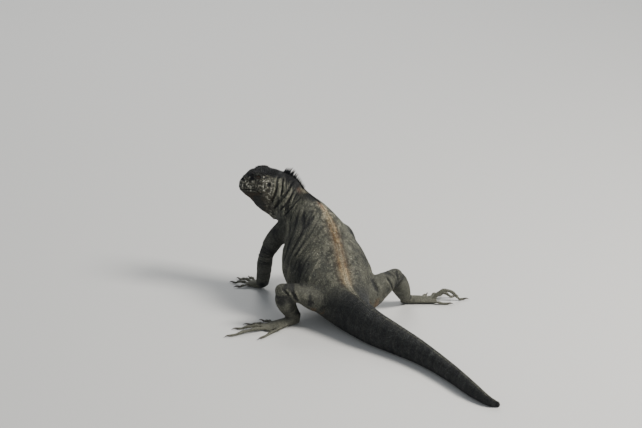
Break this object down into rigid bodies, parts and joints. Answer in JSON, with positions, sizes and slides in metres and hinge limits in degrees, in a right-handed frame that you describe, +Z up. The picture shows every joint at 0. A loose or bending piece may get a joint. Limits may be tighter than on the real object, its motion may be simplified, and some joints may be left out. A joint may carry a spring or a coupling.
{
  "type": "marine iguana",
  "caption": "Still life-size model of a young marine iguana with its chest raised, its head turned to its left and its tail laid on the floor.",
  "frame": {"origin": "on the floor, at the middle of the flat patch under the pelvis", "axes": "+Y towards the animal's front along its body, +X towards its right, +Z up"},
  "size_m": [0.2827, 0.4167, 0.1426],
  "materials": {
    "trunk_skin": "matt scaly skin, dark grey with a rusty line along the back",
    "head_skin": "matt scaly skin, dark grey flecked with pale salt",
    "limb_skin": "matt fine-scaled skin, grey",
    "claw": "dark horn with a dull shine",
    "eye": "wet dark brown"
  },
  "bodies": {
    "root": {"claw_foot_left_1": "claw", "claw_foot_left_2": "claw", "claw_foot_left_3": "claw", "claw_foot_left_4": "claw", "claw_foot_left_5": "claw", "claw_foot_right_1": "claw", "claw_foot_right_2": "claw", "claw_foot_right_3": "claw", "claw_foot_right_4": "claw", "claw_foot_right_5": "claw", "claw_hand_left_1": "claw", "claw_hand_left_2": "claw", "claw_hand_left_3": "claw", "claw_hand_left_4": "claw", "claw_hand_left_5": "claw", "claw_hand_right_1": "claw", "claw_hand_right_2": "claw", "claw_hand_right_3": "claw", "claw_hand_right_4": "claw", "claw_hand_right_5": "claw", "eye_left": "eye", "eye_right": "eye", "foot_left": "limb_skin", "foot_right": "limb_skin", "forearm_left": "limb_skin", "forearm_right": "limb_skin", "hand_left": "limb_skin", "hand_right": "limb_skin", "head": "head_skin", "neck": "trunk_skin", "shank_left": "limb_skin", "shank_right": "limb_skin", "tail_base": "trunk_skin", "tail_middle": "trunk_skin", "tail_tip": "trunk_skin", "thigh_left": "limb_skin", "thigh_right": "limb_skin", "torso": "trunk_skin", "upper_arm_left": "limb_skin", "upper_arm_right": "limb_skin"}
  },
  "joints": []
}
